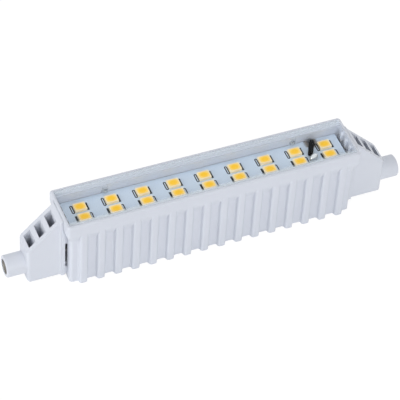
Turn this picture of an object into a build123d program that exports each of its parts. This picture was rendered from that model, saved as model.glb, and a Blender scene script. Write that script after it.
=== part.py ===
from build123d import *
import os

# Linear LED lamp with a recessed single contact at each end. A ribbed moulded
# housing holds the driver below and the LED board above, under a clear cover.
# Vented wedge caps at the ends carry the contacts. Millimetres, +X along the
# lamp, +Z towards the light, origin on the base under the middle of the lamp.

# Housing outside
body_length = 84.0
body_width = 12.9
height = 23.3
axis_height = 6.0
rim_depth = 2.9
flare_height = 5.0
corner_radius = 0.9
rim_edge_radius = 0.7
rib_height = 1.25
rib_pitch = 5.12
rib_base = 2.5
rib_crest = 2.2
rib_edge_radius = 0.7
rib_root_radius = 0.6
rib_end_margin = 1.8

# Housing inside
rim_wall = 0.9
side_wall = 1.55
end_wall = 1.4
floor_thickness = 1.4
board_ledge = 0.45
inner_corner_radius = 0.4
column_radius = 0.75
column_pitch = 2.8
column_count = 3
column_headroom = 0.1
end_slot_length = 1.25
end_slot_depth = 1.3
driver_post_length = 3.0
driver_post_spacing = 56.0

# Clear cover and the clips that hold it
cover_thickness = 0.95
cover_clearance = 0.1
clip_spacing = 56.0
clip_width = 1.5
clip_thickness = 0.6
clip_hook_reach = 0.4
clip_hook_height = 0.7
clip_clearance = 0.1

# LED board and its LEDs
board_thickness = 1.0
board_clearance = 0.1
board_end_gap = 0.6
led_length = 3.5
led_width = 2.8
led_height = 0.7
led_headroom = 2.15
led_edge_radius = 0.15
led_pitch = 9.09
led_row_spacing = 3.93
led_end_margin = 2.5
led_frame = 0.3
cup_depth = 0.4
cup_draft = 0.25
cup_corner_radius = 0.45

# End caps
cap_length = 11.3
cap_width = 7.1
cap_above_axis = 6.8
cap_below_axis = 4.8
cap_top_drop = 0.5
cap_wall = 1.1
cap_roof = 1.15
cap_corner_radius = 0.9
cap_bottom_radius = 0.9
cap_roof_radius = 0.4
cap_seat_clearance = 0.05
doorway_margin = 0.3
doorway_header = 2.0
collar_overlap = 0.37
collar_thickness = 1.0
collar_standoff = 0.7
collar_edge = 0.1
vent_count = 3
vent_bar = 1.1
vent_end_margin = 0.95
vent_collar_margin = 0.9
vent_side_margin = 1.2
vent_wall_gap = 0.6
tongue_thickness = 0.9
tongue_side_gap = 0.85
tongue_clearance = 0.1
tongue_overrun = 1.2
barb_height = 0.5

# Contact nipples and contacts
nipple_length = 5.5
nipple_diameter = 6.35
nipple_edge_radius = 0.4
recess_diameter = 4.5
recess_depth = 1.7
recess_shoulder = 0.3
contact_head = 1.0
contact_clearance = 0.1
contact_chamfer = 0.25
stem_diameter = 2.0
stem_clearance = 0.05
stem_overrun = 1.6

# Driver board and the supply leads that lie on its ends
driver_thickness = 1.0
driver_end_gap = 1.4
driver_side_gap = 0.5
lead_diameter = 1.2
lead_doorway_gap = 0.3
lead_bend = 2.0
lead_sway = 1.0
lead_landing_length = 3.0

# Driver parts, in line along the board with even gaps between them
driver_free_left = 5.0
driver_free_right = 9.0
fuse_length = 5.5
fuse_diameter = 2.5
fuse_chamfer = 0.5
fuse_leg_diameter = 0.6
fuse_leg_reach = 1.2
chip_length = 4.9
chip_width = 3.9
chip_height = 1.5
chip_standoff = 0.1
chip_leg_length = 1.0
chip_leg_width = 0.45
chip_leg_height = 0.6
chip_leg_pitch = 1.27
chip_legs_a_side = 4
can_length = 11.5
can_side_gap = 0.9
can_chamfer = 0.5
can_neck_margin = 1.6
can_neck_width = 1.0
can_neck_depth = 0.4
can_leg_diameter = 0.6
can_leg_spacing = 3.5
can_leg_reach = 1.5
drum_side_gap = 1.4
drum_headroom = 4.1
drum_flange = 1.2
drum_winding_inset = 0.5
film_length = 6.5
film_width = 4.5
film_height = 7.0
film_edge_radius = 0.4
rectifier_length = 4.7
rectifier_width = 3.9
rectifier_height = 2.5
rectifier_chamfer = 0.2
rectifier_standoff = 0.15
rectifier_leg_length = 1.4
rectifier_leg_width = 0.7
rectifier_leg_height = 0.9
rectifier_leg_pitch = 2.5

# Leads from the driver up to the LED board, between its last two pairs of LEDs
feed_diameter = 1.5
feed_wall_gap = 0.15
feed_clearance = 0.2
feed_offset = 1.5
feed_rise = 1.7
feed_bend = 1.6
feed_end_offset = -0.9
feed_end_y = -0.7
return_wall_gap = 0.1
solder_offset = -0.3
solder_y = -1.75
solder_length = 3.0
solder_width = 1.9
solder_height = 1.3
solder_turn = 30.0
solder_draft = 12.0
solder_dot_diameter = 1.4
solder_dot_height = 0.3
solder_dot_draft = 35.0

# Heights that follow, from the base up
flare_end = height - rim_depth
flare_start = flare_end - flare_height
cover_seat = height - cover_thickness
light_height = cover_seat - led_headroom
board_top = light_height - led_height
board_seat = board_top - board_thickness
driver_top = axis_height - lead_diameter / 2
driver_seat = driver_top - driver_thickness
mouth_bottom = driver_top - lead_doorway_gap
tongue_bottom = mouth_bottom - tongue_thickness
doorway_sill = tongue_bottom - tongue_clearance
doorway_head = flare_start - doorway_header
tongue_top = doorway_head - tongue_clearance
mouth_top = tongue_top - tongue_thickness

# Lengths and widths that follow, from the outside in
rim_length = body_length + 2 * rib_height
rim_width = body_width + 2 * rib_height
rib_count = int((body_length - 2 * rib_end_margin - rib_base) / rib_pitch) + 1
bay_length = body_length - 2 * end_wall
bay_width = body_width - 2 * side_wall
recess_length = rim_length - 2 * rim_wall
recess_width = rim_width - 2 * rim_wall
chamber_width = bay_width + 2 * board_ledge
board_length = recess_length - 2 * (column_radius + board_end_gap)
board_width = chamber_width - 2 * board_clearance
led_columns = int((board_length - 2 * led_end_margin - led_length) / led_pitch) + 1
driver_length = bay_length - 2 * (tongue_overrun + driver_end_gap)
driver_width = bay_width - 2 * driver_side_gap
doorway_width = cap_width + 2 * doorway_margin
collar_width = doorway_width + 2 * collar_overlap
collar_fillet = (collar_width - cap_width) / 2 - collar_edge

# Places along the lamp, on its right half
cap_face = body_length / 2
collar_inside = cap_face + collar_standoff
collar_outside = collar_inside + collar_thickness
cap_end = cap_face + cap_length
cap_inner_end = cap_end - cap_wall
nipple_end = cap_end + nipple_length
contact_face = nipple_end - recess_depth
contact_back = contact_face - contact_head
stem_end = cap_inner_end - stem_overrun
pocket_radius = recess_diameter / 2 - recess_shoulder

os.makedirs("parts", exist_ok=True)


def save(piece, name):
    piece.label = name
    export_step(piece, f"parts/{name}.step")


def flared_side(half_width, clearance=0.0):
    # Side wall seen end on: upright, then an S-shaped flare out to the rim.
    foot = half_width + clearance
    rim = foot + rib_height
    middle = (foot + rib_height / 2, (flare_start + flare_end) / 2)
    lower = TangentArc((foot, flare_start), middle, tangent=(0, 1))
    TangentArc(middle, (rim, flare_end), tangent=lower % 1)
    return foot, rim


def flared_outline(half_width):
    # Whole outline of the housing, seen along or across the lamp.
    foot, rim = flared_side(half_width)
    Polyline((0, 0), (foot, 0), (foot, flare_start))
    Polyline((rim, flare_end), (rim, height), (0, height))
    mirror(about=Plane.YZ)


# Plan of one rib on the back wall: steep flanks with a hollow root, and a rounded
# crest flush with the rim.
rib_foot = rib_base / 2 + rib_root_radius
with BuildSketch() as rib_plan:
    with BuildLine():
        Polyline(
            (-rib_foot, bay_width / 2),
            (-rib_foot, body_width / 2),
            (-rib_base / 2, body_width / 2),
            (-rib_crest / 2, rim_width / 2),
            (rib_crest / 2, rim_width / 2),
            (rib_base / 2, body_width / 2),
            (rib_foot, body_width / 2),
            (rib_foot, bay_width / 2),
            close=True,
        )
    make_face()
    fillet(rib_plan.vertices().group_by(Axis.Y)[-1], rib_edge_radius)
    rib_roots = rib_plan.vertices().group_by(Axis.Y)[1].sort_by(Axis.X)
    fillet(rib_roots[1:3], rib_root_radius)

# Housing: one moulding, a trough with vertical ribs on both long sides that run
# out into the rim, a doorway at each end, seats for board and cover inside.
with BuildPart() as housing:
    with BuildSketch(Plane.YZ):
        with BuildLine():
            flared_outline(body_width / 2)
        make_face()
    extrude(amount=rim_length / 2, both=True)
    with BuildSketch(Plane.XZ):
        with BuildLine():
            flared_outline(body_length / 2)
        make_face()
    extrude(amount=rim_width / 2, both=True, mode=Mode.INTERSECT)
    upright_corners = housing.edges().filter_by(
        lambda edge: abs(edge.center().X) > bay_length / 2 and abs(edge.center().Y) > bay_width / 2
    )
    fillet(upright_corners, corner_radius)
    fillet(housing.faces().sort_by(Axis.Z)[-1].edges(), rim_edge_radius)

    with BuildSketch():
        with GridLocations(rib_pitch, 0, rib_count, 1):
            add(rib_plan.sketch)
        mirror(about=Plane.XZ)
    extrude(amount=(flare_end + cover_seat) / 2)

    # Driver bay, light chamber and cover recess, each wider than the one below.
    with BuildSketch(Plane.XY.offset(floor_thickness)):
        Rectangle(bay_length, bay_width)
    extrude(amount=board_seat - floor_thickness, mode=Mode.SUBTRACT)
    with BuildSketch(Plane.XY.offset(board_seat)):
        RectangleRounded(recess_length, chamber_width, inner_corner_radius)
    extrude(amount=cover_seat - board_seat, mode=Mode.SUBTRACT)
    with BuildSketch(Plane.XY.offset(cover_seat)):
        RectangleRounded(recess_length, recess_width, inner_corner_radius)
    extrude(amount=cover_thickness, mode=Mode.SUBTRACT)

    # A slot beyond each end of the board, and half-round columns with domed tops
    # that rise from it on the chamber's end walls.
    slot_floor = board_seat - end_slot_depth
    with BuildSketch(Plane.XY.offset(slot_floor)):
        Rectangle(bay_length + 2 * end_slot_length, bay_width)
    extrude(amount=board_seat - slot_floor, mode=Mode.SUBTRACT)
    column_top = cover_seat - column_headroom - column_radius
    with BuildSketch(Plane.XY.offset(slot_floor)):
        with GridLocations(recess_length, column_pitch, 2, column_count):
            Circle(column_radius)
        Rectangle(recess_length, chamber_width, mode=Mode.INTERSECT)
    extrude(amount=column_top - slot_floor)
    with Locations((0, 0, column_top)):
        with GridLocations(recess_length, column_pitch, 2, column_count):
            Sphere(column_radius)

    # Doorways for the end caps and windows for the cover's clips.
    for end in (-1, 1):
        with BuildSketch(Plane.YZ.offset(end * bay_length / 2)):
            with Locations((0, (doorway_sill + doorway_head) / 2)):
                Rectangle(doorway_width, doorway_head - doorway_sill)
        extrude(amount=end * end_wall, mode=Mode.SUBTRACT)
    window_height = clip_hook_height + 2 * clip_clearance
    window_reach = chamber_width + 2 * (clip_hook_reach + clip_clearance)
    with BuildSketch(Plane.XY.offset(board_top + clip_clearance)):
        with GridLocations(clip_spacing, 0, 2, 1):
            Rectangle(clip_width + 2 * clip_clearance, window_reach)
    extrude(amount=window_height, mode=Mode.SUBTRACT)

    # Cross posts that carry the driver board.
    with BuildSketch(Plane.XY.offset(floor_thickness)):
        with GridLocations(driver_post_spacing, 0, 2, 1):
            Rectangle(driver_post_length, bay_width)
    extrude(amount=driver_seat - floor_thickness)
save(housing.part, "housing")

# Profile of a pair of cover clips, seen along the lamp.
clip_outside = chamber_width / 2 - clip_clearance
clip_inside = clip_outside - clip_thickness
clip_foot = board_top + 2 * clip_clearance
with BuildSketch() as clip_profile:
    with BuildLine():
        Polyline(
            (clip_inside, cover_seat),
            (clip_inside, clip_foot),
            (clip_outside, clip_foot),
            (clip_outside + clip_hook_reach, clip_foot + clip_hook_height),
            (clip_outside, clip_foot + clip_hook_height),
            (clip_outside, cover_seat),
            close=True,
        )
    make_face()
    mirror(about=Plane.YZ)

# Clear cover: a flat window that drops into the rim, with four spring clips whose
# hooks catch in the windows of the side walls.
with BuildPart() as clear_cover:
    with BuildSketch(Plane.XY.offset(cover_seat)):
        RectangleRounded(
            recess_length - 2 * cover_clearance,
            recess_width - 2 * cover_clearance,
            inner_corner_radius,
        )
    extrude(amount=cover_thickness)
    for clip_x in (-clip_spacing / 2, clip_spacing / 2):
        with BuildSketch(Plane.YZ.offset(clip_x)):
            add(clip_profile.sketch)
        extrude(amount=clip_width / 2, both=True)
save(clear_cover.part, "clear_cover")

# End caps: hollow wedges with three vents in the sloping roof, a collar and two
# barbed tongues at the housing, and the contact nipple at the outer end.
cap_bottom = axis_height - cap_below_axis
roof_end = axis_height + cap_above_axis
roof_top = height - cap_top_drop
with BuildPart() as right_end_cap:
    with BuildSketch() as cap_plan:
        with BuildLine():
            Polyline(
                (cap_face, 0),
                (cap_face, doorway_width / 2),
                (collar_inside, doorway_width / 2),
                (collar_inside, collar_width / 2),
                (collar_outside, collar_width / 2),
                (collar_outside, cap_width / 2),
                (cap_end, cap_width / 2),
                (cap_end, 0),
            )
            mirror(about=Plane.XZ)
        make_face()
        fillet(cap_plan.vertices().group_by(Axis.X)[-1], cap_corner_radius)
        collar_corners = cap_plan.vertices().group_by(Axis.X)[2].sort_by(Axis.Y)
        fillet(collar_corners[1:3], collar_fillet)
    extrude(amount=height)
    with BuildSketch(Plane.XZ) as cap_side:
        with BuildLine():
            foot, rim = flared_side(body_length / 2, cap_seat_clearance)
            Polyline((rim, flare_end), (rim, roof_top), (cap_end, roof_end), (cap_end, cap_bottom))
            Polyline((cap_end, cap_bottom), (cap_face, cap_bottom), (cap_face, flare_start))
            Line((cap_face, flare_start), (foot, flare_start))
        make_face()
        lower_corner, upper_corner = cap_side.vertices().group_by(Axis.X)[-1].sort_by(Axis.Y)
        fillet(lower_corner, cap_bottom_radius)
        fillet(upper_corner, cap_roof_radius)
    extrude(amount=collar_width / 2, both=True, mode=Mode.INTERSECT)

    # Inside: hollow under the roof, open to the housing through the doorway.
    inner_rim = rim + cap_wall
    roof_slope = (roof_top - roof_end) / (cap_end - rim)
    roof_drop = cap_roof * (1 + roof_slope**2) ** 0.5
    with BuildSketch(Plane.XZ):
        with BuildLine():
            Polyline(
                (cap_face, mouth_bottom),
                (inner_rim, mouth_bottom),
                (inner_rim, cap_bottom + cap_wall),
                (cap_inner_end, cap_bottom + cap_wall),
                (cap_inner_end, roof_end + cap_wall * roof_slope - roof_drop),
                (inner_rim, roof_top - cap_wall * roof_slope - roof_drop),
                (inner_rim, mouth_top),
                (cap_face, mouth_top),
                close=True,
            )
        make_face()
    extrude(amount=cap_width / 2 - cap_wall, both=True, mode=Mode.SUBTRACT)

    # Side gaps between collar and housing, level with the doorway.
    with BuildSketch(Plane.XZ):
        with Locations(((cap_face + collar_inside) / 2, (doorway_sill + doorway_head) / 2)):
            Rectangle(collar_standoff, doorway_head - doorway_sill)
    extrude(amount=collar_width / 2, both=True, mode=Mode.SUBTRACT)

    # Walls that hang from the bars between the vents, clear of the supply lead.
    vent_run = cap_end - vent_end_margin - (collar_outside + vent_collar_margin)
    vent_opening = (vent_run - (vent_count - 1) * vent_bar) / vent_count
    vent_middle = cap_end - vent_end_margin - vent_run / 2
    vent_wall_foot = axis_height + lead_diameter / 2 + vent_wall_gap
    with BuildSketch(Plane.XZ):
        for bar in range(vent_count - 1):
            bar_end = cap_end - vent_end_margin - vent_opening - bar * (vent_opening + vent_bar)
            bar_start = bar_end - vent_bar
            under_roof = roof_end - roof_drop / 2
            with BuildLine():
                Polyline(
                    (bar_start, vent_wall_foot),
                    (bar_end, vent_wall_foot),
                    (bar_end, under_roof + (cap_end - bar_end) * roof_slope),
                    (bar_start, under_roof + (cap_end - bar_start) * roof_slope),
                    close=True,
                )
            make_face()
    extrude(amount=cap_width / 2 - cap_wall, both=True)

    # Vents, pulled straight up through the roof.
    with BuildSketch(Plane.XY.offset(roof_end - roof_drop)):
        with Locations((vent_middle, 0)):
            with GridLocations(vent_opening + vent_bar, 0, vent_count, 1):
                Rectangle(vent_opening, cap_width - 2 * vent_side_margin)
    extrude(amount=height, mode=Mode.SUBTRACT)

    # Tongues through the doorway, with barbs behind the end wall.
    tongue_tip = bay_length / 2 - tongue_overrun
    barb_start = bay_length / 2 - cap_seat_clearance
    with BuildSketch(Plane.XZ):
        with BuildLine():
            Polyline(
                (collar_outside, tongue_bottom),
                (barb_start, tongue_bottom),
                (barb_start, tongue_bottom - barb_height),
                (tongue_tip, tongue_bottom + barb_height),
                (tongue_tip, mouth_bottom),
                (collar_outside, mouth_bottom),
                close=True,
            )
        make_face()
        with BuildLine():
            Polyline(
                (collar_outside, tongue_top),
                (barb_start, tongue_top),
                (barb_start, tongue_top + barb_height),
                (tongue_tip, tongue_top - barb_height),
                (tongue_tip, mouth_top),
                (collar_outside, mouth_top),
                close=True,
            )
        make_face()
    extrude(amount=doorway_width / 2 - tongue_side_gap, both=True)

    # Nipple with its recess, the contact's pocket below that, and the stem's hole.
    with BuildSketch(Plane.YZ.offset(cap_inner_end)):
        with Locations((0, axis_height)):
            Circle(nipple_diameter / 2)
    extrude(amount=nipple_end - cap_inner_end)
    fillet(right_end_cap.faces().sort_by(Axis.X)[-1].edges(), nipple_edge_radius)
    with BuildSketch(Plane.YZ.offset(contact_face)):
        with Locations((0, axis_height)):
            Circle(recess_diameter / 2)
    extrude(amount=recess_depth, mode=Mode.SUBTRACT)
    with BuildSketch(Plane.YZ.offset(contact_back)):
        with Locations((0, axis_height)):
            Circle(pocket_radius)
    extrude(amount=contact_head, mode=Mode.SUBTRACT)
    with BuildSketch(Plane.YZ.offset(cap_inner_end)):
        with Locations((0, axis_height)):
            Circle(stem_diameter / 2 + stem_clearance)
    extrude(amount=contact_back - cap_inner_end, mode=Mode.SUBTRACT)
save(right_end_cap.part, "right_end_cap")

with BuildPart() as left_end_cap:
    mirror(right_end_cap.part, about=Plane.YZ)
save(left_end_cap.part, "left_end_cap")

# Contacts: turned buttons at the bottom of the recesses, on stems that pass
# through the nipples and take the supply leads.
with BuildPart() as right_contact:
    with BuildSketch(Plane.YZ.offset(contact_back)):
        with Locations((0, axis_height)):
            Circle(pocket_radius - contact_clearance)
    extrude(amount=contact_head)
    chamfer(right_contact.faces().sort_by(Axis.X)[-1].edges(), contact_chamfer)
    with BuildSketch(Plane.YZ.offset(stem_end)):
        with Locations((0, axis_height)):
            Circle(stem_diameter / 2)
    extrude(amount=contact_back - stem_end)
save(right_contact.part, "right_contact")

with BuildPart() as left_contact:
    mirror(right_contact.part, about=Plane.YZ)
save(left_contact.part, "left_contact")

# LED board: white printed board on the ledges of the housing, with a notch in its
# back edge for the black lead and a hole for the return lead.
lead_gap_x = (led_columns / 2 - 1) * led_pitch
feed_x = lead_gap_x + feed_offset
feed_y = bay_width / 2 - feed_wall_gap - feed_diameter / 2
return_y = lead_diameter / 2 + return_wall_gap - bay_width / 2
feed_slot = feed_diameter + 2 * feed_clearance
with BuildPart() as led_board:
    with BuildSketch(Plane.XY.offset(board_seat)):
        Rectangle(board_length, board_width)
        with Locations((feed_x, board_width / 2)):
            SlotCenterToCenter(board_width - 2 * feed_y, feed_slot, rotation=90, mode=Mode.SUBTRACT)
        with Locations((feed_x, return_y)):
            Circle(lead_diameter / 2 + feed_clearance, mode=Mode.SUBTRACT)
    extrude(amount=board_thickness)
save(led_board.part, "led_board")

# LEDs: white moulded packages with a drafted cup, in pairs along the board, and the
# phosphor that fills each cup.
cup_length = led_length - 2 * led_frame
cup_width = led_width - 2 * led_frame
led_number = 0
for led_row in (led_row_spacing / 2, -led_row_spacing / 2):
    for led_column in range(led_columns):
        led_number += 1
        led_x = (led_column - (led_columns - 1) / 2) * led_pitch
        with BuildPart() as phosphor:
            with BuildSketch(Plane.XY.offset(light_height - cup_depth)):
                with Locations((led_x, led_row)):
                    RectangleRounded(
                        cup_length - 2 * cup_draft,
                        cup_width - 2 * cup_draft,
                        cup_corner_radius - cup_draft,
                    )
            with BuildSketch(Plane.XY.offset(light_height)):
                with Locations((led_x, led_row)):
                    RectangleRounded(cup_length, cup_width, cup_corner_radius)
            loft()
        with BuildPart() as led:
            with BuildSketch(Plane.XY.offset(board_top)):
                with Locations((led_x, led_row)):
                    RectangleRounded(led_length, led_width, led_edge_radius)
            extrude(amount=led_height)
            add(phosphor.part, mode=Mode.SUBTRACT)
        save(led.part, f"led_{led_number:02d}")
        save(phosphor.part, f"phosphor_{led_number:02d}")

# Driver board: lies on the cross posts, below the LED board.
with BuildPart() as driver_board:
    with BuildSketch(Plane.XY.offset(driver_seat)):
        Rectangle(driver_length, driver_width)
    extrude(amount=driver_thickness)
save(driver_board.part, "driver_board")

# Places of the driver parts: fuse, chip, can, drum, film block and rectifier.
fuse_span = fuse_length + 2 * fuse_leg_reach + fuse_leg_diameter
can_span = can_length + can_leg_reach + can_leg_diameter / 2
drum_radius = bay_width / 2 - drum_side_gap
spans = (fuse_span, chip_length, can_span, 2 * drum_radius, film_length, rectifier_length)
free_length = driver_length - driver_free_left - driver_free_right - sum(spans)
part_gap = free_length / (len(spans) + 1)
fuse_x = driver_free_left + part_gap + fuse_span / 2 - driver_length / 2
chip_x = fuse_x + fuse_span / 2 + part_gap + chip_length / 2
can_back = chip_x + chip_length / 2 + part_gap
drum_x = can_back + can_span + part_gap + drum_radius
film_x = drum_x + drum_radius + part_gap + film_length / 2
rectifier_x = film_x + film_length / 2 + part_gap + rectifier_length / 2

# Fuse resistor: axial body on two bent legs.
fuse_axis = driver_top + fuse_diameter / 2
with BuildPart() as fuse_resistor:
    with Locations((fuse_x, 0, fuse_axis)):
        Cylinder(fuse_diameter / 2, fuse_length, rotation=(0, 90, 0))
    chamfer(fuse_resistor.edges().filter_by(GeomType.CIRCLE), fuse_chamfer)
    for side in (-1, 1):
        fuse_leg_start = fuse_x + side * (fuse_length / 2 - fuse_chamfer)
        fuse_leg_end = fuse_x + side * (fuse_length / 2 + fuse_leg_reach)
        with BuildLine() as fuse_leg:
            Polyline(
                (fuse_leg_start, 0, fuse_axis),
                (fuse_leg_end, 0, fuse_axis),
                (fuse_leg_end, 0, driver_top),
            )
        with BuildSketch(Plane.YZ.offset(fuse_leg_start)):
            with Locations((0, fuse_axis)):
                Circle(fuse_leg_diameter / 2)
        sweep(path=fuse_leg.line, transition=Transition.RIGHT)
save(fuse_resistor.part, "fuse_resistor")

# Driver chip: flat package with legs along both long sides.
with BuildPart() as driver_chip:
    with BuildSketch(Plane.XY.offset(driver_top + chip_standoff)):
        with Locations((chip_x, 0)):
            Rectangle(chip_length, chip_width)
    extrude(amount=chip_height)
    with BuildSketch(Plane.XY.offset(driver_top)):
        with Locations((chip_x, 0)):
            with GridLocations(chip_leg_pitch, chip_width, chip_legs_a_side, 2):
                Rectangle(chip_leg_width, chip_leg_length)
    extrude(amount=chip_leg_height)
save(driver_chip.part, "driver_chip")

# Smoothing capacitor: aluminium can lying on the board, with a rolled neck and a
# pair of legs that turn down to the board.
can_radius = bay_width / 2 - can_side_gap
can_axis = driver_top + can_radius
can_top = can_axis + can_radius
can_front = can_back + can_length
neck_outer = can_front - can_neck_margin
neck_inner = neck_outer - can_neck_width
with BuildPart() as smoothing_capacitor:
    with BuildSketch(Plane.XZ):
        with BuildLine():
            Polyline(
                (can_back, can_axis),
                (can_back, can_top),
                (neck_inner, can_top),
                (neck_inner + can_neck_width / 2, can_top - can_neck_depth),
                (neck_outer, can_top),
                (can_front, can_top),
                (can_front, can_axis),
                close=True,
            )
        make_face()
    revolve(axis=Axis((0, 0, can_axis), (1, 0, 0)))
    chamfer(smoothing_capacitor.faces().sort_by(Axis.X)[0].edges(), can_chamfer)
    for can_leg_y in (-can_leg_spacing / 2, can_leg_spacing / 2):
        with BuildLine() as can_leg:
            Polyline(
                (can_front - can_chamfer, can_leg_y, can_axis),
                (can_front + can_leg_reach, can_leg_y, can_axis),
                (can_front + can_leg_reach, can_leg_y, driver_top),
            )
        with BuildSketch(Plane.YZ.offset(can_front - can_chamfer)):
            with Locations((can_leg_y, can_axis)):
                Circle(can_leg_diameter / 2)
        sweep(path=can_leg.line, transition=Transition.RIGHT)
save(smoothing_capacitor.part, "smoothing_capacitor")

# Power inductor: upright drum with the winding between two flanges.
drum_height = board_seat - drum_headroom - driver_top
with BuildPart() as power_inductor:
    with BuildSketch(Plane.XY.offset(driver_top)):
        with Locations((drum_x, 0)):
            Circle(drum_radius)
    extrude(amount=drum_flange)
    with BuildSketch(Plane.XY.offset(driver_top + drum_flange)):
        with Locations((drum_x, 0)):
            Circle(drum_radius - drum_winding_inset)
    extrude(amount=drum_height - 2 * drum_flange)
    with BuildSketch(Plane.XY.offset(driver_top + drum_height - drum_flange)):
        with Locations((drum_x, 0)):
            Circle(drum_radius)
    extrude(amount=drum_flange)
save(power_inductor.part, "power_inductor")

# Output capacitor: potted film block.
with BuildPart() as output_capacitor:
    with BuildSketch(Plane.XY.offset(driver_top)):
        with Locations((film_x, 0)):
            RectangleRounded(film_length, film_width, film_edge_radius)
    extrude(amount=film_height)
save(output_capacitor.part, "output_capacitor")

# Bridge rectifier: small moulded block on four legs.
with BuildPart() as bridge_rectifier:
    with BuildSketch(Plane.XY.offset(driver_top + rectifier_standoff)):
        with Locations((rectifier_x, 0)):
            Rectangle(rectifier_length, rectifier_width)
    extrude(amount=rectifier_height)
    chamfer(bridge_rectifier.faces().sort_by(Axis.Z)[-1].edges(), rectifier_chamfer)
    with BuildSketch(Plane.XY.offset(driver_top)):
        with Locations((rectifier_x, 0)):
            with GridLocations(rectifier_leg_pitch, rectifier_width, 2, 2):
                Rectangle(rectifier_leg_width, rectifier_leg_length)
    extrude(amount=rectifier_leg_height)
save(bridge_rectifier.part, "bridge_rectifier")

# Supply leads: from the contact stems through the doorways to the driver board.
lead_landing = driver_length / 2 - lead_landing_length
lead_span = stem_end - lead_landing
with BuildPart() as right_lead:
    with BuildLine() as right_lead_route:
        FilletPolyline(
            (stem_end, 0, axis_height),
            (stem_end - lead_span / 4, 0, axis_height),
            (stem_end - lead_span / 2, lead_sway, axis_height),
            (stem_end - lead_span * 3 / 4, 0, axis_height),
            (lead_landing, 0, axis_height),
            radius=lead_bend,
        )
    with BuildSketch(Plane.YZ.offset(stem_end)):
        with Locations((0, axis_height)):
            Circle(lead_diameter / 2)
    sweep(path=right_lead_route.line)
save(right_lead.part, "right_lead")

with BuildPart() as left_lead:
    mirror(right_lead.part, about=Plane.YZ)
save(left_lead.part, "left_lead")

# Black feed lead: rises from the driver through the notch of the LED board, bends
# over and comes down on its solder pad between the last two pairs of LEDs.
with BuildPart() as black_lead:
    with BuildLine() as black_lead_route:
        FilletPolyline(
            (feed_x, feed_y, driver_top),
            (feed_x, feed_y, board_top + feed_rise),
            (lead_gap_x + feed_end_offset, feed_end_y, board_top + feed_diameter / 2),
            radius=feed_bend,
        )
    with BuildSketch(Plane.XY.offset(driver_top)):
        with Locations((feed_x, feed_y)):
            Circle(feed_diameter / 2)
    sweep(path=black_lead_route.line)
save(black_lead.part, "black_lead")

# Solder joint of the feed lead: an oval mound on the pad, run up to the lead's end.
with BuildPart() as feed_solder:
    with BuildSketch(Plane.XY.offset(board_top)):
        with Locations((lead_gap_x + solder_offset, solder_y)):
            Ellipse(solder_length / 2, solder_width / 2, rotation=solder_turn)
    extrude(amount=solder_height, taper=solder_draft)
    add(black_lead.part, mode=Mode.SUBTRACT)
save(feed_solder.part, "feed_solder")

# Return lead: straight up from the driver into its hole in the LED board, with a
# low solder dot on top.
with BuildPart() as return_lead:
    with BuildSketch(Plane.XY.offset(driver_top)):
        with Locations((feed_x, return_y)):
            Circle(lead_diameter / 2)
    extrude(amount=board_top - driver_top)
save(return_lead.part, "return_lead")

with BuildPart() as return_solder:
    with BuildSketch(Plane.XY.offset(board_top)):
        with Locations((feed_x, return_y)):
            Circle(solder_dot_diameter / 2)
    extrude(amount=solder_dot_height, taper=solder_dot_draft)
save(return_solder.part, "return_solder")
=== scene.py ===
import math
import bmesh
import bpy
from mathutils import Matrix, Vector, noise


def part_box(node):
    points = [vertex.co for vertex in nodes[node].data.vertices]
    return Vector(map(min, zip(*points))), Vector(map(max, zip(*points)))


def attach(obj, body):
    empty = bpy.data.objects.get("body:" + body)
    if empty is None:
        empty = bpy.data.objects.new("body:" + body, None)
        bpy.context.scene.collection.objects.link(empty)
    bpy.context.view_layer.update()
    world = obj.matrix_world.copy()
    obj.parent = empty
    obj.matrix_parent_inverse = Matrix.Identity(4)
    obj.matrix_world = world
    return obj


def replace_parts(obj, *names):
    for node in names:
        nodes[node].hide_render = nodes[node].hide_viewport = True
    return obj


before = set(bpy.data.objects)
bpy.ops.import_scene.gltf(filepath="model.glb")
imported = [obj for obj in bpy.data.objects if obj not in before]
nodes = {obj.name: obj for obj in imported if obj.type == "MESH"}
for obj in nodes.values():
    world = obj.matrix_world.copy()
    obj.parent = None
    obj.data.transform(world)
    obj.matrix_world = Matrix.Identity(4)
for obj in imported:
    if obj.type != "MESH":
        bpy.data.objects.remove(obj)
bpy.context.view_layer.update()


# Housing: the trough that carries everything, one moulding in white PBT with
# ribs on both long sides. Its tool is finely spark-eroded, so it is satin.

MM = 0.001
GRAIN_DEPTH = 0.01 * MM

# A Mix node that is set to colours has its factor and colours at these inputs,
# and its result at this output.
FACTOR = 0
FIRST = 6
SECOND = 7
MIXED = 2


def linear(code):
    """Scene-linear colour, with full alpha, of an sRGB hex value."""
    parts = [int(code[i:i + 2], 16) / 255 for i in (1, 3, 5)]
    return [c / 12.92 if c <= 0.04045 else ((c + 0.055) / 1.055) ** 2.4 for c in parts] + [1.0]


def add(tree, kind, inputs=None, **settings):
    """A node with its settings, each input given as a value or as the output that feeds it."""
    node = tree.nodes.new(kind)
    for name, value in settings.items():
        setattr(node, name, value)
    for name, value in (inputs or {}).items():
        if isinstance(value, bpy.types.NodeSocket):
            tree.links.new(value, node.inputs[name])
        else:
            node.inputs[name].default_value = value
    return node


def begin(name):
    """A new material: itself, its tree, its surface shader and the place on the piece in metres."""
    material = bpy.data.materials.new(name)
    material.use_nodes = True
    tree = material.node_tree
    tree.nodes.clear()
    shader = add(tree, "ShaderNodeBsdfPrincipled")
    add(tree, "ShaderNodeOutputMaterial", {"Surface": shader.outputs["BSDF"]})
    return material, tree, shader, add(tree, "ShaderNodeTexCoord").outputs["Object"]


def feed(tree, shader, **sources):
    """Links outputs to the shader's colour, roughness or normal."""
    sockets = {"colour": "Base Color", "roughness": "Roughness", "normal": "Normal"}
    for name, source in sources.items():
        tree.links.new(source, shader.inputs[sockets[name]])


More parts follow.
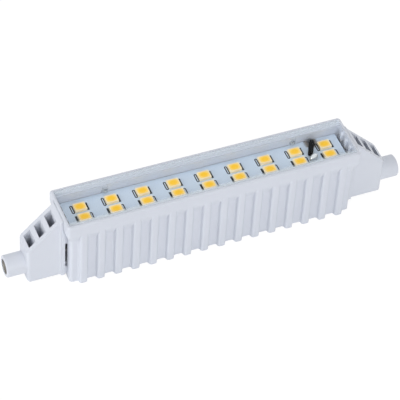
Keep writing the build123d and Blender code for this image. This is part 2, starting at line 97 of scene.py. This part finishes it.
def dress(names, material):
    """Puts the material on the CAD nodes with these names."""
    for name in names:
        for material_slot in nodes[name].material_slots:
            material_slot.material = material


def moulded_white(name, pale, shade, cloud_mm, grain_mm, edge_mm):
    """Satin moulded plastic: faint clouds in its tone, an eroded grain, slightly rounded edges."""
    material, tree, shader, place = begin(name)
    cloud = add(tree, "ShaderNodeTexNoise",
                {"Vector": place, "Scale": 1 / (cloud_mm * MM), "Detail": 2.0})
    grain = add(tree, "ShaderNodeTexNoise",
                {"Vector": place, "Scale": 1 / (grain_mm * MM), "Detail": 3.0})
    tone = add(tree, "ShaderNodeMix",
               {FACTOR: cloud.outputs["Fac"], FIRST: linear(pale), SECOND: linear(shade)},
               data_type="RGBA")
    satin = add(tree, "ShaderNodeMapRange",
                {"Value": grain.outputs["Fac"], "To Min": 0.40, "To Max": 0.52})
    edge = add(tree, "ShaderNodeBevel", {"Radius": edge_mm * MM}, samples=6)
    bump = add(tree, "ShaderNodeBump",
               {"Strength": 0.25, "Distance": GRAIN_DEPTH, "Height": grain.outputs["Fac"],
                "Normal": edge.outputs["Normal"]})
    feed(tree, shader, colour=tone.outputs[MIXED], roughness=satin.outputs["Result"],
         normal=bump.outputs["Normal"])
    shader.inputs["IOR"].default_value = 1.5
    return material


# White PBT off a spark-eroded tool gives a soft, wide highlight and barely
# visible clouds. The grain is drawn at 0.6 mm, coarser than the real 0.1 mm.
white_pbt = moulded_white("white_pbt_moulded", "#D5D9E2", "#D0D4DD",
                          cloud_mm=14.0, grain_mm=0.6, edge_mm=0.15)
dress(["housing"], white_pbt)


# Driver: a lacquered paper board that lies on posts in the bottom of the trough,
# with the parts of a mains LED driver soldered to it.

SHEEN_SPREAD = 0.06


def coated(name, pale, shade, spot_mm, rough, bump_mm=0.01, metallic=0.0, gloss=0.5):
    """A plain small part: two close tones in spots, a nearly even sheen and a fine skin."""
    material, tree, shader, place = begin(name)
    spots = add(tree, "ShaderNodeTexNoise",
                {"Vector": place, "Scale": 1 / (spot_mm * MM), "Detail": 3.0})
    tone = add(tree, "ShaderNodeMix",
               {FACTOR: spots.outputs["Fac"], FIRST: linear(pale), SECOND: linear(shade)},
               data_type="RGBA")
    sheen = add(tree, "ShaderNodeMapRange",
                {"Value": spots.outputs["Fac"],
                 "To Min": rough - SHEEN_SPREAD, "To Max": rough + SHEEN_SPREAD})
    bump = add(tree, "ShaderNodeBump",
               {"Strength": 0.3, "Distance": bump_mm * MM, "Height": spots.outputs["Fac"]})
    feed(tree, shader, colour=tone.outputs[MIXED], roughness=sheen.outputs["Result"],
         normal=bump.outputs["Normal"])
    shader.inputs["Metallic"].default_value = metallic
    shader.inputs["Specular IOR Level"].default_value = gloss
    return material


# Lacquered paper laminate: dull green, with its fibres showing darker through the coat.
dress(["driver_board"],
      coated("lacquered_paper_laminate", "#5F8257", "#4C6E49", spot_mm=0.8, rough=0.38))

# Moulded epoxy: matt black, faintly speckled by its filler.
dress(["driver_chip", "bridge_rectifier"],
      coated("moulded_epoxy", "#232427", "#1A1B1D", spot_mm=0.3, rough=0.55))

# Drawn aluminium can: a soft metal shine in two close greys.
dress(["smoothing_capacitor"],
      coated("aluminium_can", "#A9ADB3", "#989CA3", spot_mm=1.5, rough=0.32, metallic=1.0))

# Sintered ferrite: charcoal grey, dull and grainy.
dress(["power_inductor"],
      coated("sintered_ferrite", "#3A3B3E", "#2C2D30", spot_mm=0.4, rough=0.62, bump_mm=0.03))

# Dipped film block: a yellow resin coat with a soft gloss.
dress(["output_capacitor"],
      coated("dipped_film_block", "#C9A23B", "#BC9432", spot_mm=1.2, rough=0.35))

# Dipped resistor coat: grey-green lacquer with slight lumps.
dress(["fuse_resistor"],
      coated("dipped_resistor_coat", "#8FA9A0", "#7F9A92", spot_mm=0.9, rough=0.42, bump_mm=0.03))


# LED board: glass-epoxy laminate under a white solder mask, dropped on the ledges
# of the housing. The mask is screen-printed, so it has a slight orange-peel skin.

BOARD_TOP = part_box("led_board")[1][2]
PEEL_MM = 0.7
PEEL_DEPTH = 0.01 * MM
PATCH_MM = 5.0
BROWN_PATCH_PLACE = (33.2 * MM, 4.2 * MM, BOARD_TOP)
BROWN_PATCH_RAGGED = 1.6 * MM
BROWN_PATCH_FULL = 2.3 * MM
BROWN_PATCH_END = 3.2 * MM
BROWN_PATCH_SHARE = 0.85

# White solder mask: glossy enough to mirror the light softly, with faint
# patches where copper lies under it. The routed edges show the tan laminate,
# and round the notch where the lead comes up the mask turns brown, raggedly.
white_mask, tree, shader, place = begin("white_solder_mask")
peel = add(tree, "ShaderNodeTexNoise",
           {"Vector": place, "Scale": 1 / (PEEL_MM * MM), "Detail": 2.0})
patch = add(tree, "ShaderNodeTexNoise",
            {"Vector": place, "Scale": 1 / (PATCH_MM * MM), "Detail": 1.0})
tone = add(tree, "ShaderNodeMix",
           {FACTOR: patch.outputs["Fac"], FIRST: linear("#DDE9F5"), SECOND: linear("#D7E5F3")},
           data_type="RGBA")
sheen = add(tree, "ShaderNodeMapRange",
            {"Value": peel.outputs["Fac"], "To Min": 0.26, "To Max": 0.36})
skin = add(tree, "ShaderNodeBump",
           {"Strength": 0.2, "Distance": PEEL_DEPTH, "Height": peel.outputs["Fac"]})
from_lead = add(tree, "ShaderNodeVectorMath", {0: place, 1: BROWN_PATCH_PLACE}, operation="DISTANCE")
ragged = add(tree, "ShaderNodeMath",
             {0: peel.outputs["Fac"], 1: BROWN_PATCH_RAGGED, 2: from_lead.outputs["Value"]},
             operation="MULTIPLY_ADD")
brown_patch = add(tree, "ShaderNodeMapRange",
            {"Value": ragged.outputs[0], "From Min": BROWN_PATCH_FULL, "From Max": BROWN_PATCH_END,
             "To Min": BROWN_PATCH_SHARE, "To Max": 0.0}, interpolation_type="SMOOTHSTEP")
with_brown_patch = add(tree, "ShaderNodeMix",
              {FACTOR: brown_patch.outputs["Result"], FIRST: tone.outputs[MIXED],
               SECOND: linear("#766552")}, data_type="RGBA")
normal = add(tree, "ShaderNodeNewGeometry").outputs["Normal"]
facing = add(tree, "ShaderNodeSeparateXYZ", {"Vector": normal})
not_edge = add(tree, "ShaderNodeMath", {0: facing.outputs["Z"]}, operation="ABSOLUTE")
masked = add(tree, "ShaderNodeMix",
             {FACTOR: not_edge.outputs[0], FIRST: linear("#A58F6B"),
              SECOND: with_brown_patch.outputs[MIXED]}, data_type="RGBA")
feed(tree, shader, colour=masked.outputs[MIXED], roughness=sheen.outputs["Result"],
     normal=skin.outputs["Normal"])
dress(["led_board"], white_mask)

# Legend ink: flat black epoxy ink, printed through a mesh that leaves its
# cover a little uneven.
MESH_MM = 0.15
legend_ink, tree, shader, place = begin("black_legend_ink")
mesh_print = add(tree, "ShaderNodeTexNoise",
                 {"Vector": place, "Scale": 1 / (MESH_MM * MM), "Detail": 2.0})
tone = add(tree, "ShaderNodeMix",
           {FACTOR: mesh_print.outputs["Fac"], FIRST: linear("#101216"),
            SECOND: linear("#22262C")}, data_type="RGBA")
sheen = add(tree, "ShaderNodeMapRange",
            {"Value": mesh_print.outputs["Fac"], "To Min": 0.5, "To Max": 0.7})
feed(tree, shader, colour=tone.outputs[MIXED], roughness=sheen.outputs["Result"])
shader.inputs["Specular IOR Level"].default_value = 0.25

# The legend marks each LED's two ends: a narrow outline at one, a bar at the
# other. The front row is turned round, so its marks change sides.
LED_COLUMNS = 9
LED_PITCH = 9.09 * MM
ROW_OFFSET = 1.965 * MM
INK_THICKNESS = 0.02 * MM
CORNER_STEPS = 4
MARK_SIZES = {
    "Pitch": LED_PITCH,
    "Row offset": ROW_OFFSET,
    "Height": BOARD_TOP + INK_THICKNESS / 2,
    "Ink": INK_THICKNESS,
    "Length": 2.8 * MM,
    "Bar width": 0.6 * MM,
    "Bar place": 2.1 * MM,
    "Outline width": 0.56 * MM,
    "Outline line": 0.3 * MM,
    "Outline place": -2.2 * MM,
    "Outline corner": 0.25 * MM,
}


def grown(name, tree, values):
    """A plain mesh piece made by a node tree, with the tree's named inputs set to these values."""
    seed = bpy.data.objects.new(name, bpy.data.meshes.new(name))
    bpy.context.scene.collection.objects.link(seed)
    modifier = seed.modifiers.new(name, "NODES")
    modifier.node_group = tree
    for item in tree.interface.items_tree:
        if item.in_out == "INPUT" and item.name in values:
            modifier[item.identifier] = values[item.name]
    bpy.context.view_layer.update()
    evaluated = seed.evaluated_get(bpy.context.evaluated_depsgraph_get())
    mesh = bpy.data.meshes.new_from_object(evaluated)
    seed.modifiers.remove(modifier)
    seed.data = mesh
    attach(seed, "root")


def sized_tree(name, sizes):
    """An empty geometry tree with a named length for each size, and the outputs that give them."""
    tree = bpy.data.node_groups.new(name, "GeometryNodeTree")
    tree.interface.new_socket("Geometry", in_out="OUTPUT", socket_type="NodeSocketGeometry")
    for size in sizes:
        tree.interface.new_socket(size, in_out="INPUT", socket_type="NodeSocketFloat")
    return tree, add(tree, "NodeGroupInput").outputs


def over_leds(tree, wanted, marks):
    """Sets the marks of one LED at every LED of both rows, the front row turned half round."""
    rows = []
    for row_turn, side in ((0.0, 1.0), (math.pi, -1.0)):
        row_y = add(tree, "ShaderNodeMath",
                    {0: wanted["Row offset"], 1: side}, operation="MULTIPLY")
        first_x = add(tree, "ShaderNodeMath",
                      {0: wanted["Pitch"], 1: -(LED_COLUMNS - 1) / 2}, operation="MULTIPLY")
        start = add(tree, "ShaderNodeCombineXYZ",
                    {"X": first_x.outputs[0], "Y": row_y.outputs[0], "Z": wanted["Height"]})
        step = add(tree, "ShaderNodeCombineXYZ", {"X": wanted["Pitch"]})
        line = add(tree, "GeometryNodeMeshLine",
                   {"Count": LED_COLUMNS, "Start Location": start.outputs[0],
                    "Offset": step.outputs[0]})
        placed = add(tree, "GeometryNodeInstanceOnPoints",
                     {"Points": line.outputs["Mesh"], "Instance": marks,
                      "Rotation": (0.0, 0.0, row_turn)})
        rows.append(placed.outputs["Instances"])
    return rows


def closing(tree, parts, material):
    """Joins the parts, makes them real and gives them their material."""
    joined = add(tree, "GeometryNodeJoinGeometry")
    for part in parts:
        tree.links.new(part, joined.inputs["Geometry"])
    real = add(tree, "GeometryNodeRealizeInstances", {"Geometry": joined.outputs["Geometry"]})
    finished = add(tree, "GeometryNodeSetMaterial",
                   {"Geometry": real.outputs["Geometry"], "Material": material})
    add(tree, "NodeGroupOutput", {"Geometry": finished.outputs["Geometry"]})


mark_tree, wanted = sized_tree("led_marks", MARK_SIZES)
bar_size = add(mark_tree, "ShaderNodeCombineXYZ",
               {"X": wanted["Bar width"], "Y": wanted["Length"], "Z": wanted["Ink"]})
bar = add(mark_tree, "GeometryNodeMeshCube", {"Size": bar_size.outputs[0]})
bar_place = add(mark_tree, "ShaderNodeCombineXYZ", {"X": wanted["Bar place"]})
bar_set = add(mark_tree, "GeometryNodeTransform",
              {"Geometry": bar.outputs["Mesh"], "Translation": bar_place.outputs[0]})
outline = add(mark_tree, "GeometryNodeCurvePrimitiveQuadrilateral",
              {"Width": wanted["Outline width"], "Height": wanted["Length"]})
rounded = add(mark_tree, "GeometryNodeFilletCurve",
              {"Curve": outline.outputs["Curve"], "Radius": wanted["Outline corner"],
               "Count": CORNER_STEPS}, mode="POLY")
stroke = add(mark_tree, "GeometryNodeCurvePrimitiveQuadrilateral",
             {"Width": wanted["Outline line"], "Height": wanted["Ink"]})
outline_mesh = add(mark_tree, "GeometryNodeCurveToMesh",
                   {"Curve": rounded.outputs["Curve"], "Profile Curve": stroke.outputs["Curve"]})
outline_place = add(mark_tree, "ShaderNodeCombineXYZ", {"X": wanted["Outline place"]})
outline_set = add(mark_tree, "GeometryNodeTransform",
                  {"Geometry": outline_mesh.outputs["Mesh"],
                   "Translation": outline_place.outputs[0]})
one_led = add(mark_tree, "GeometryNodeJoinGeometry")
for part in (bar_set, outline_set):
    mark_tree.links.new(part.outputs["Geometry"], one_led.inputs["Geometry"])
closing(mark_tree, over_leds(mark_tree, wanted, one_led.outputs["Geometry"]), legend_ink)
grown("led_marks", mark_tree, MARK_SIZES)


# LEDs: eighteen in two rows, each a white moulded package soldered to the board,
# with a cup that is filled with silicone and yellow phosphor.

LED_NUMBERS = [f"{n:02d}" for n in range(1, 2 * LED_COLUMNS + 1)]
CUP_HALF_LENGTH = 1.45 * MM
CUP_HALF_WIDTH = 1.1 * MM
POWDER_MM = 0.2
PACKAGE_SKIN_MM = 0.3

# Where each tone starts to turn paler and where it is palest, the cup's side being at 1.
PHOSPHOR_TURNS = 0.5
PHOSPHOR_PALEST = 1.2
PACKAGE_TURNS = 0.9
PACKAGE_PALEST = 1.6


def led_distance(tree, place):
    """How far a place is from its LED's centre: 1 at the middle of each side of the cup."""
    axes = add(tree, "ShaderNodeSeparateXYZ", {"Vector": place})
    along = add(tree, "ShaderNodeMath",
                {0: axes.outputs["X"], 1: LED_PITCH / 2, 2: -LED_PITCH / 2}, operation="WRAP")
    either_row = add(tree, "ShaderNodeMath", {0: axes.outputs["Y"]}, operation="ABSOLUTE")
    across = add(tree, "ShaderNodeMath",
                 {0: either_row.outputs[0], 1: ROW_OFFSET}, operation="SUBTRACT")
    from_centre = add(tree, "ShaderNodeCombineXYZ",
                      {"X": along.outputs[0], "Y": across.outputs[0]})
    in_cups = add(tree, "ShaderNodeVectorMath",
                  {0: from_centre.outputs[0], 1: (CUP_HALF_LENGTH, CUP_HALF_WIDTH, 1.0)},
                  operation="DIVIDE")
    length = add(tree, "ShaderNodeVectorMath", {0: in_cups.outputs["Vector"]}, operation="LENGTH")
    return length.outputs["Value"]


# Phosphor silicone: deep yellow-orange in the middle, where it is thickest,
# and paler at the rim, where the white cup shines through. It turns blue light
# into yellow even by day. Its faint emission is a painted glow: partly for that,
# and partly to brighten it beyond the light that falls on it.
phosphor, tree, shader, place = begin("phosphor_silicone")
distance = led_distance(tree, place)
powder = add(tree, "ShaderNodeTexNoise",
             {"Vector": place, "Scale": 1 / (POWDER_MM * MM), "Detail": 2.0})
thin = add(tree, "ShaderNodeMapRange",
           {"Value": distance, "From Min": PHOSPHOR_TURNS, "From Max": PHOSPHOR_PALEST},
           interpolation_type="SMOOTHSTEP")
yellow = add(tree, "ShaderNodeMix",
             {FACTOR: thin.outputs["Result"], FIRST: linear("#FFC81E"),
              SECOND: linear("#FFDE8A")}, data_type="RGBA")
sheen = add(tree, "ShaderNodeMapRange",
            {"Value": powder.outputs["Fac"], "To Min": 0.3, "To Max": 0.4})
feed(tree, shader, colour=yellow.outputs[MIXED], roughness=sheen.outputs["Result"])
# Painted glow: the phosphor gives out a little light of its own.
shader.inputs["Emission Color"].default_value = linear("#FFBC04")
shader.inputs["Emission Strength"].default_value = 0.20
dress([f"phosphor_{number}" for number in LED_NUMBERS], phosphor)

# White polyamide package: whiter towards its outside, and painted warm cream
# next to the cup with a faint glow, which is painted light from the phosphor.
package, tree, shader, place = begin("white_polyamide_package")
distance = led_distance(tree, place)
# Painted light: the warm tone fades out with distance from the cup.
painted_spill_fade = add(tree, "ShaderNodeMapRange",
           {"Value": distance, "From Min": PACKAGE_TURNS, "From Max": PACKAGE_PALEST},
           interpolation_type="SMOOTHSTEP")
cream = add(tree, "ShaderNodeMix",
            {FACTOR: painted_spill_fade.outputs["Result"], FIRST: linear("#FFE6AC"),
             SECOND: linear("#FFF2D2")}, data_type="RGBA")
skin = add(tree, "ShaderNodeTexNoise",
           {"Vector": place, "Scale": 1 / (PACKAGE_SKIN_MM * MM), "Detail": 2.0})
sheen = add(tree, "ShaderNodeMapRange",
            {"Value": skin.outputs["Fac"], "To Min": 0.4, "To Max": 0.5})
feed(tree, shader, colour=cream.outputs[MIXED], roughness=sheen.outputs["Result"])
# Painted glow: a faint warm light of the package's own.
shader.inputs["Emission Color"].default_value = linear("#FFD08A")
shader.inputs["Emission Strength"].default_value = 0.06
dress([f"led_{number}" for number in LED_NUMBERS], package)


# Leads: insulated wires between the contacts, the driver and the LED board. The
# black one comes up through a notch in the board and is soldered beside it.

# Extruded PVC: deep black, with a dull skin that mirrors hardly anything.
dress(["black_lead"],
      coated("black_extruded_pvc", "#0B0B0D", "#060607", spot_mm=0.6, rough=0.5, gloss=0.08))

# Extruded silicone: soft off-white, with a satin skin.
dress(["right_lead", "left_lead", "return_lead"],
      coated("white_extruded_silicone", "#E4E5E2", "#D9DAD6", spot_mm=0.8, rough=0.48))

# Tin solder, set by hand: pale grey metal, slightly wavy where it froze.
hand_solder = coated("tin_solder", "#DADCDB", "#C2C5C6",
                     spot_mm=0.5, rough=0.45, bump_mm=0.04, metallic=1.0)
dress(["return_solder"], hand_solder)

SHARP_ANGLE = math.radians(30)


def new_piece(name, shape, material):
    """A piece with this shape, smooth apart from its edges."""
    mesh = bpy.data.meshes.new(name)
    shape.to_mesh(mesh)
    shape.free()
    mesh.materials.append(material)
    mesh.shade_smooth()
    mesh.set_sharp_from_angle(angle=SHARP_ANGLE)
    piece = bpy.data.objects.new(name, mesh)
    bpy.context.scene.collection.objects.link(piece)
    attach(piece, "root")
    return piece


# The joint that shows is a mound on the CAD outline, drawn into a dome by the
# surface of the melt, with dents where the iron left it.
JOINT_HALF_LENGTH = 1.5 * MM
JOINT_HALF_WIDTH = 0.95 * MM
JOINT_TURN = Matrix.Rotation(math.radians(30), 3, "Z")
DOME_POWER = 0.35
DENT_MM = 0.8
DENT_SHARE = 0.04
RINGS = 14
ROUND = 44
joint_low, joint_high = (Vector(corner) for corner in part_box("feed_solder"))
joint_foot = (joint_low + joint_high) / 2
joint_foot.z = joint_low.z
joint_rise = Vector((0, 0, joint_high.z - joint_low.z))
joint_oval = []
for k in range(ROUND):
    angle = math.tau * k / ROUND
    spot = Vector((JOINT_HALF_LENGTH * math.cos(angle), JOINT_HALF_WIDTH * math.sin(angle), 0))
    joint_oval.append(JOINT_TURN @ spot)
joint = bmesh.new()
rings = []
for step in range(RINGS):
    climb = math.pi / 2 * step / RINGS
    reach = math.cos(climb) ** DOME_POWER
    ring = []
    for oval_spot in joint_oval:
        spot = reach * oval_spot + math.sin(climb) * joint_rise
        dent = DENT_SHARE * math.sin(climb) * (1 + noise.noise(spot / (DENT_MM * MM)))
        ring.append(joint.verts.new(joint_foot + (1 - dent) * spot))
    rings.append(ring)
joint.faces.new(list(reversed(rings[0])))
for lower, upper in zip(rings, rings[1:]):
    for k in range(ROUND):
        joint.faces.new((lower[k - 1], lower[k], upper[k], upper[k - 1]))
joint.faces.new(rings[-1])
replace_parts(new_piece("solder_joint", joint, hand_solder), "feed_solder")


# Clear cover: a flat window moulded in clear polycarbonate, pressed into the
# recess of the rim, where its four spring clips catch in the housing.

TONER = "#FDFEFF"
SWIRL_MM = 8.0
HAZE_SHARE = 0.004
BORDER_HIGHLIGHT_SHARE = 0.32
BORDER_START = 5.45 * MM
BORDER_FULL = 5.75 * MM
GRAZING_POWER = 5.0

# Clear polycarbonate: polished, with a blue toner and a trace of haze. Light
# passes to the board, and to the eye its faces mirror more at a low angle.
# Its border along both long sides, where it lies on the ledge, is made matt, and this pale band is
# a painted highlight along the cover's edge.
clear, tree, shader, place = begin("clear_polycarbonate")
swirl = add(tree, "ShaderNodeTexNoise",
            {"Vector": place, "Scale": 1 / (SWIRL_MM * MM), "Detail": 2.0})
polish = add(tree, "ShaderNodeMapRange",
             {"Value": swirl.outputs["Fac"], "To Min": 0.05, "To Max": 0.09})
feed(tree, shader, roughness=polish.outputs["Result"])
shader.inputs["Base Color"].default_value = linear("#E4EDF1")
shader.inputs["IOR"].default_value = 1.585
passed = add(tree, "ShaderNodeBsdfTransparent", {"Color": linear(TONER)})
axes = add(tree, "ShaderNodeSeparateXYZ", {"Vector": place})
from_middle = add(tree, "ShaderNodeMath", {0: axes.outputs["Y"]}, operation="ABSOLUTE")
# Painted highlight: the pane turns pale and matt towards both long edges, to the eye only.
haze_and_border_highlight = add(tree, "ShaderNodeMapRange",
             {"Value": from_middle.outputs[0], "From Min": BORDER_START, "From Max": BORDER_FULL,
              "To Min": HAZE_SHARE, "To Max": BORDER_HIGHLIGHT_SHARE})
slant = add(tree, "ShaderNodeLayerWeight", {"Blend": 0.5})
grazing = add(tree, "ShaderNodeMath",
              {0: slant.outputs["Facing"], 1: GRAZING_POWER}, operation="POWER")
solid = add(tree, "ShaderNodeMapRange",
            {"Value": grazing.outputs[0], "To Min": haze_and_border_highlight.outputs["Result"], "To Max": 1.0})
eye = add(tree, "ShaderNodeLightPath").outputs["Is Camera Ray"]
solid_to_eye = add(tree, "ShaderNodeMath",
                   {0: solid.outputs["Result"], 1: eye}, operation="MULTIPLY")
pane = add(tree, "ShaderNodeMixShader",
           {0: solid_to_eye.outputs[0], 1: passed.outputs["BSDF"], 2: shader.outputs["BSDF"]})
tree.links.new(pane.outputs["Shader"], tree.nodes["Material Output"].inputs["Surface"])

# The window and its clips keep the CAD outline. Its top edges are broken, as on
# the real moulding, and its seat stands a hair off the ledge that carries it.
SEAT_GAP = 0.03 * MM
SEAT_DEPTH = 0.95 * MM
BROKEN_EDGE = 0.15 * MM
MERGE_DISTANCE = 0.001 * MM
cover_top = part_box("clear_cover")[1][2]
cover_seat = cover_top - SEAT_DEPTH
cover = bmesh.new()
cover.from_mesh(nodes["clear_cover"].data)
bmesh.ops.remove_doubles(cover, verts=cover.verts, dist=MERGE_DISTANCE)
for vert in cover.verts:
    if abs(vert.co.z - cover_seat) < SEAT_GAP:
        vert.co.z += SEAT_GAP
top_faces = [face for face in cover.faces
             if all(vert.co.z > cover_top - SEAT_GAP for vert in face.verts)]
top = bmesh.ops.dissolve_faces(cover, faces=top_faces)["region"]
bmesh.ops.bevel(cover, geom=top[0].edges, offset=BROKEN_EDGE, segments=2, profile=0.5,
                affect="EDGES")
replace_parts(new_piece("cover_window", cover, clear), "clear_cover")


# End caps: a hollow wedge at each end, moulded in the housing's white plastic and
# snapped into its end wall by barbed tongues. Three vents cool the driver.

# White PBT from another tool: as the housing, a trace lighter and with finer clouds.
cap_pbt = moulded_white("white_pbt_cap", "#D6DAE2", "#D1D5DE",
                        cloud_mm=10.0, grain_mm=0.6, edge_mm=0.15)
dress(["right_end_cap", "left_end_cap"], cap_pbt)


# Contacts: a turned brass button, nickel-plated, at the bottom of each nipple's
# recess, where the lampholder's sprung pin presses on it.

TURNING_MM = 0.18
TURNING_DEPTH = 0.01 * MM
contact_low, contact_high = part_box("right_contact")
AXIS_HEIGHT = (contact_low[2] + contact_high[2]) / 2

# Nickel plate over turned brass: bright, slightly warm, with the rings of the
# cutting tool. The rings are drawn at 0.18 mm, coarser than the real feed.
# A Wave texture repeats once in pi / 10 of its unit.
nickel, tree, shader, place = begin("nickel_plated_brass")
centred = add(tree, "ShaderNodeMapping",
              {"Vector": place, "Location": (0.0, 0.0, -AXIS_HEIGHT)})
tool_rings = add(tree, "ShaderNodeTexWave",
                 {"Vector": centred.outputs["Vector"], "Scale": math.pi / (10 * TURNING_MM * MM),
                  "Distortion": 0.4}, wave_type="RINGS", rings_direction="X")
tone = add(tree, "ShaderNodeMix",
           {FACTOR: tool_rings.outputs["Fac"], FIRST: linear("#C9C3B8"),
            SECOND: linear("#BDB8AE")}, data_type="RGBA")
sheen = add(tree, "ShaderNodeMapRange",
            {"Value": tool_rings.outputs["Fac"], "To Min": 0.2, "To Max": 0.32})
turned = add(tree, "ShaderNodeBump",
             {"Strength": 0.3, "Distance": TURNING_DEPTH, "Height": tool_rings.outputs["Fac"]})
feed(tree, shader, colour=tone.outputs[MIXED], roughness=sheen.outputs["Result"],
     normal=turned.outputs["Normal"])
shader.inputs["Metallic"].default_value = 1.0
dress(["right_contact", "left_contact"], nickel)

# Tarnished nickel: grey and satin, so each recess shows darker than its rim.
tarnished = coated("tarnished_nickel", "#CFCDC8", "#BBB9B4",
                   spot_mm=0.4, rough=0.42, metallic=1.0)

# The recess is lined by a thin drawn sleeve, pressed in round the button.
SLEEVE_OUTSIDE = 2.24 * MM
SLEEVE_INSIDE = 2.14 * MM
SLEEVE_START = 57.12 * MM
SLEEVE_END = 58.65 * MM
SLEEVE_PROFILE = [(SLEEVE_START, SLEEVE_OUTSIDE), (SLEEVE_END, SLEEVE_OUTSIDE),
                  (SLEEVE_END, SLEEVE_INSIDE), (SLEEVE_START, SLEEVE_INSIDE)]
for name, side in (("right_sleeve", 1), ("left_sleeve", -1)):
    sleeve = bmesh.new()
    hoops = []
    for along, radius in SLEEVE_PROFILE:
        hoop = []
        for k in range(ROUND):
            angle = math.tau * k / ROUND
            height = AXIS_HEIGHT + radius * math.sin(angle)
            hoop.append(sleeve.verts.new((side * along, radius * math.cos(angle), height)))
        hoops.append(hoop)
    for near, far in zip(hoops, hoops[1:] + hoops[:1]):
        for k in range(ROUND):
            sleeve.faces.new((near[k - 1], near[k], far[k], far[k - 1]))
    bmesh.ops.recalc_face_normals(sleeve, faces=sleeve.faces)
    new_piece(name, sleeve, tarnished)


# Studio: a plain white floor, soft light from all round with three low soft boxes
# and a weak one above, and the camera of the photograph.

scene = bpy.context.scene
scene.view_settings.view_transform = "Standard"

# The floor lies a hair under the base, so that no two faces share a plane.
FLOOR_HALF = 3.0
FLOOR_LEVEL = -0.05 * MM
FLOOR_GLOW = 1.08
SHADOW_SHARE = 0.15


def white_to_eye(tree):
    """1 for rays that see plain white: straight from the camera, mirrored or through glass."""
    ray = add(tree, "ShaderNodeLightPath").outputs
    direct = add(tree, "ShaderNodeMath",
                 {0: ray["Is Camera Ray"], 1: ray["Is Glossy Ray"]}, operation="MAXIMUM")
    either = add(tree, "ShaderNodeMath",
                 {0: direct.outputs[0], 1: ray["Is Transmission Ray"]}, operation="MAXIMUM")
    return either.outputs[0]


# White card: matt, and white to the eye apart from a soft shadow. It has no
# underside, so the base of the lamp shows from below.
card, tree, shader, _ = begin("white_card")
shader.inputs["Base Color"].default_value = linear("#FFFFFF")
shader.inputs["Roughness"].default_value = 0.9
glow = add(tree, "ShaderNodeEmission", {"Color": linear("#FFFFFF"), "Strength": FLOOR_GLOW})
glow_share = add(tree, "ShaderNodeMath",
                 {0: white_to_eye(tree), 1: 1 - SHADOW_SHARE}, operation="MULTIPLY")
seen = add(tree, "ShaderNodeMixShader",
           {0: glow_share.outputs[0], 1: shader.outputs["BSDF"], 2: glow.outputs["Emission"]})
underside = add(tree, "ShaderNodeNewGeometry").outputs["Backfacing"]
gone = add(tree, "ShaderNodeBsdfTransparent")
one_sided = add(tree, "ShaderNodeMixShader",
                {0: underside, 1: seen.outputs["Shader"], 2: gone.outputs["BSDF"]})
tree.links.new(one_sided.outputs["Shader"], tree.nodes["Material Output"].inputs["Surface"])

corners = [(FLOOR_HALF * x, FLOOR_HALF * y, FLOOR_LEVEL)
           for x, y in ((-1, -1), (1, -1), (1, 1), (-1, 1))]
floor_mesh = bpy.data.meshes.new("floor")
floor_mesh.from_pydata(corners, [], [(0, 1, 2, 3)])
floor_mesh.materials.append(card)
floor = bpy.data.objects.new("floor", floor_mesh)
scene.collection.objects.link(floor)

# The room lights the lamp evenly from all round, and is white behind it.
ROOM_LEVEL = 0.48
world = bpy.data.worlds.new("white_room")
scene.world = world
world.use_nodes = True
tree = world.node_tree
tree.nodes.clear()
room = add(tree, "ShaderNodeBackground", {"Color": linear("#FBFCFF"), "Strength": ROOM_LEVEL})
white = add(tree, "ShaderNodeBackground", {"Color": linear("#FFFFFF"), "Strength": 1.0})
surround = add(tree, "ShaderNodeMixShader",
               {0: white_to_eye(tree), 1: room.outputs["Background"],
                2: white.outputs["Background"]})
add(tree, "ShaderNodeOutputWorld", {"Surface": surround.outputs["Shader"]})

# The point in the lamp that is at the middle of the picture.
AIM = Vector((-1.287, 0.688, 11.65)) * MM


def soft_box(name, place, size, watts):
    """A square white soft box at that place, turned to the lamp."""
    light = bpy.data.lights.new(name, "AREA")
    light.shape = "SQUARE"
    light.size = size
    light.energy = watts
    box = bpy.data.objects.new(name, light)
    box.location = place
    box.rotation_euler = (AIM - box.location).to_track_quat("-Z", "Y").to_euler()
    scene.collection.objects.link(box)


soft_box("front_box", place=(-0.09, -0.9, 0.44), size=0.6, watts=3.55)
soft_box("left_box", place=(-0.93, 0.0, 0.37), size=0.5, watts=3.65)
soft_box("back_box", place=(0.7, 0.8, 0.2), size=0.6, watts=2.0)
soft_box("top_box", place=(0.1, 0.3, 1.0), size=0.6, watts=1.1)

# The camera was fitted to the edges of the lamp and the centres of its LEDs.
AZIMUTH = math.radians(24.833)
DEPRESSION = math.radians(46.825)
ROLL = math.radians(4.117)
CAMERA_DISTANCE = 629.03 * MM
LENS_MM = 203.757
forward = Vector((math.sin(AZIMUTH) * math.cos(DEPRESSION),
                  math.cos(AZIMUTH) * math.cos(DEPRESSION), -math.sin(DEPRESSION)))
level = forward.cross(Vector((0, 0, 1))).normalized()
right = math.cos(ROLL) * level + math.sin(ROLL) * level.cross(forward)
back = -forward
view = Matrix((right, back.cross(right), back)).transposed().to_4x4()
camera_data = bpy.data.cameras.new("camera")
camera_data.lens = LENS_MM
camera = bpy.data.objects.new("camera", camera_data)
camera.matrix_world = Matrix.Translation(AIM - forward * CAMERA_DISTANCE) @ view
scene.collection.objects.link(camera)
scene.camera = camera
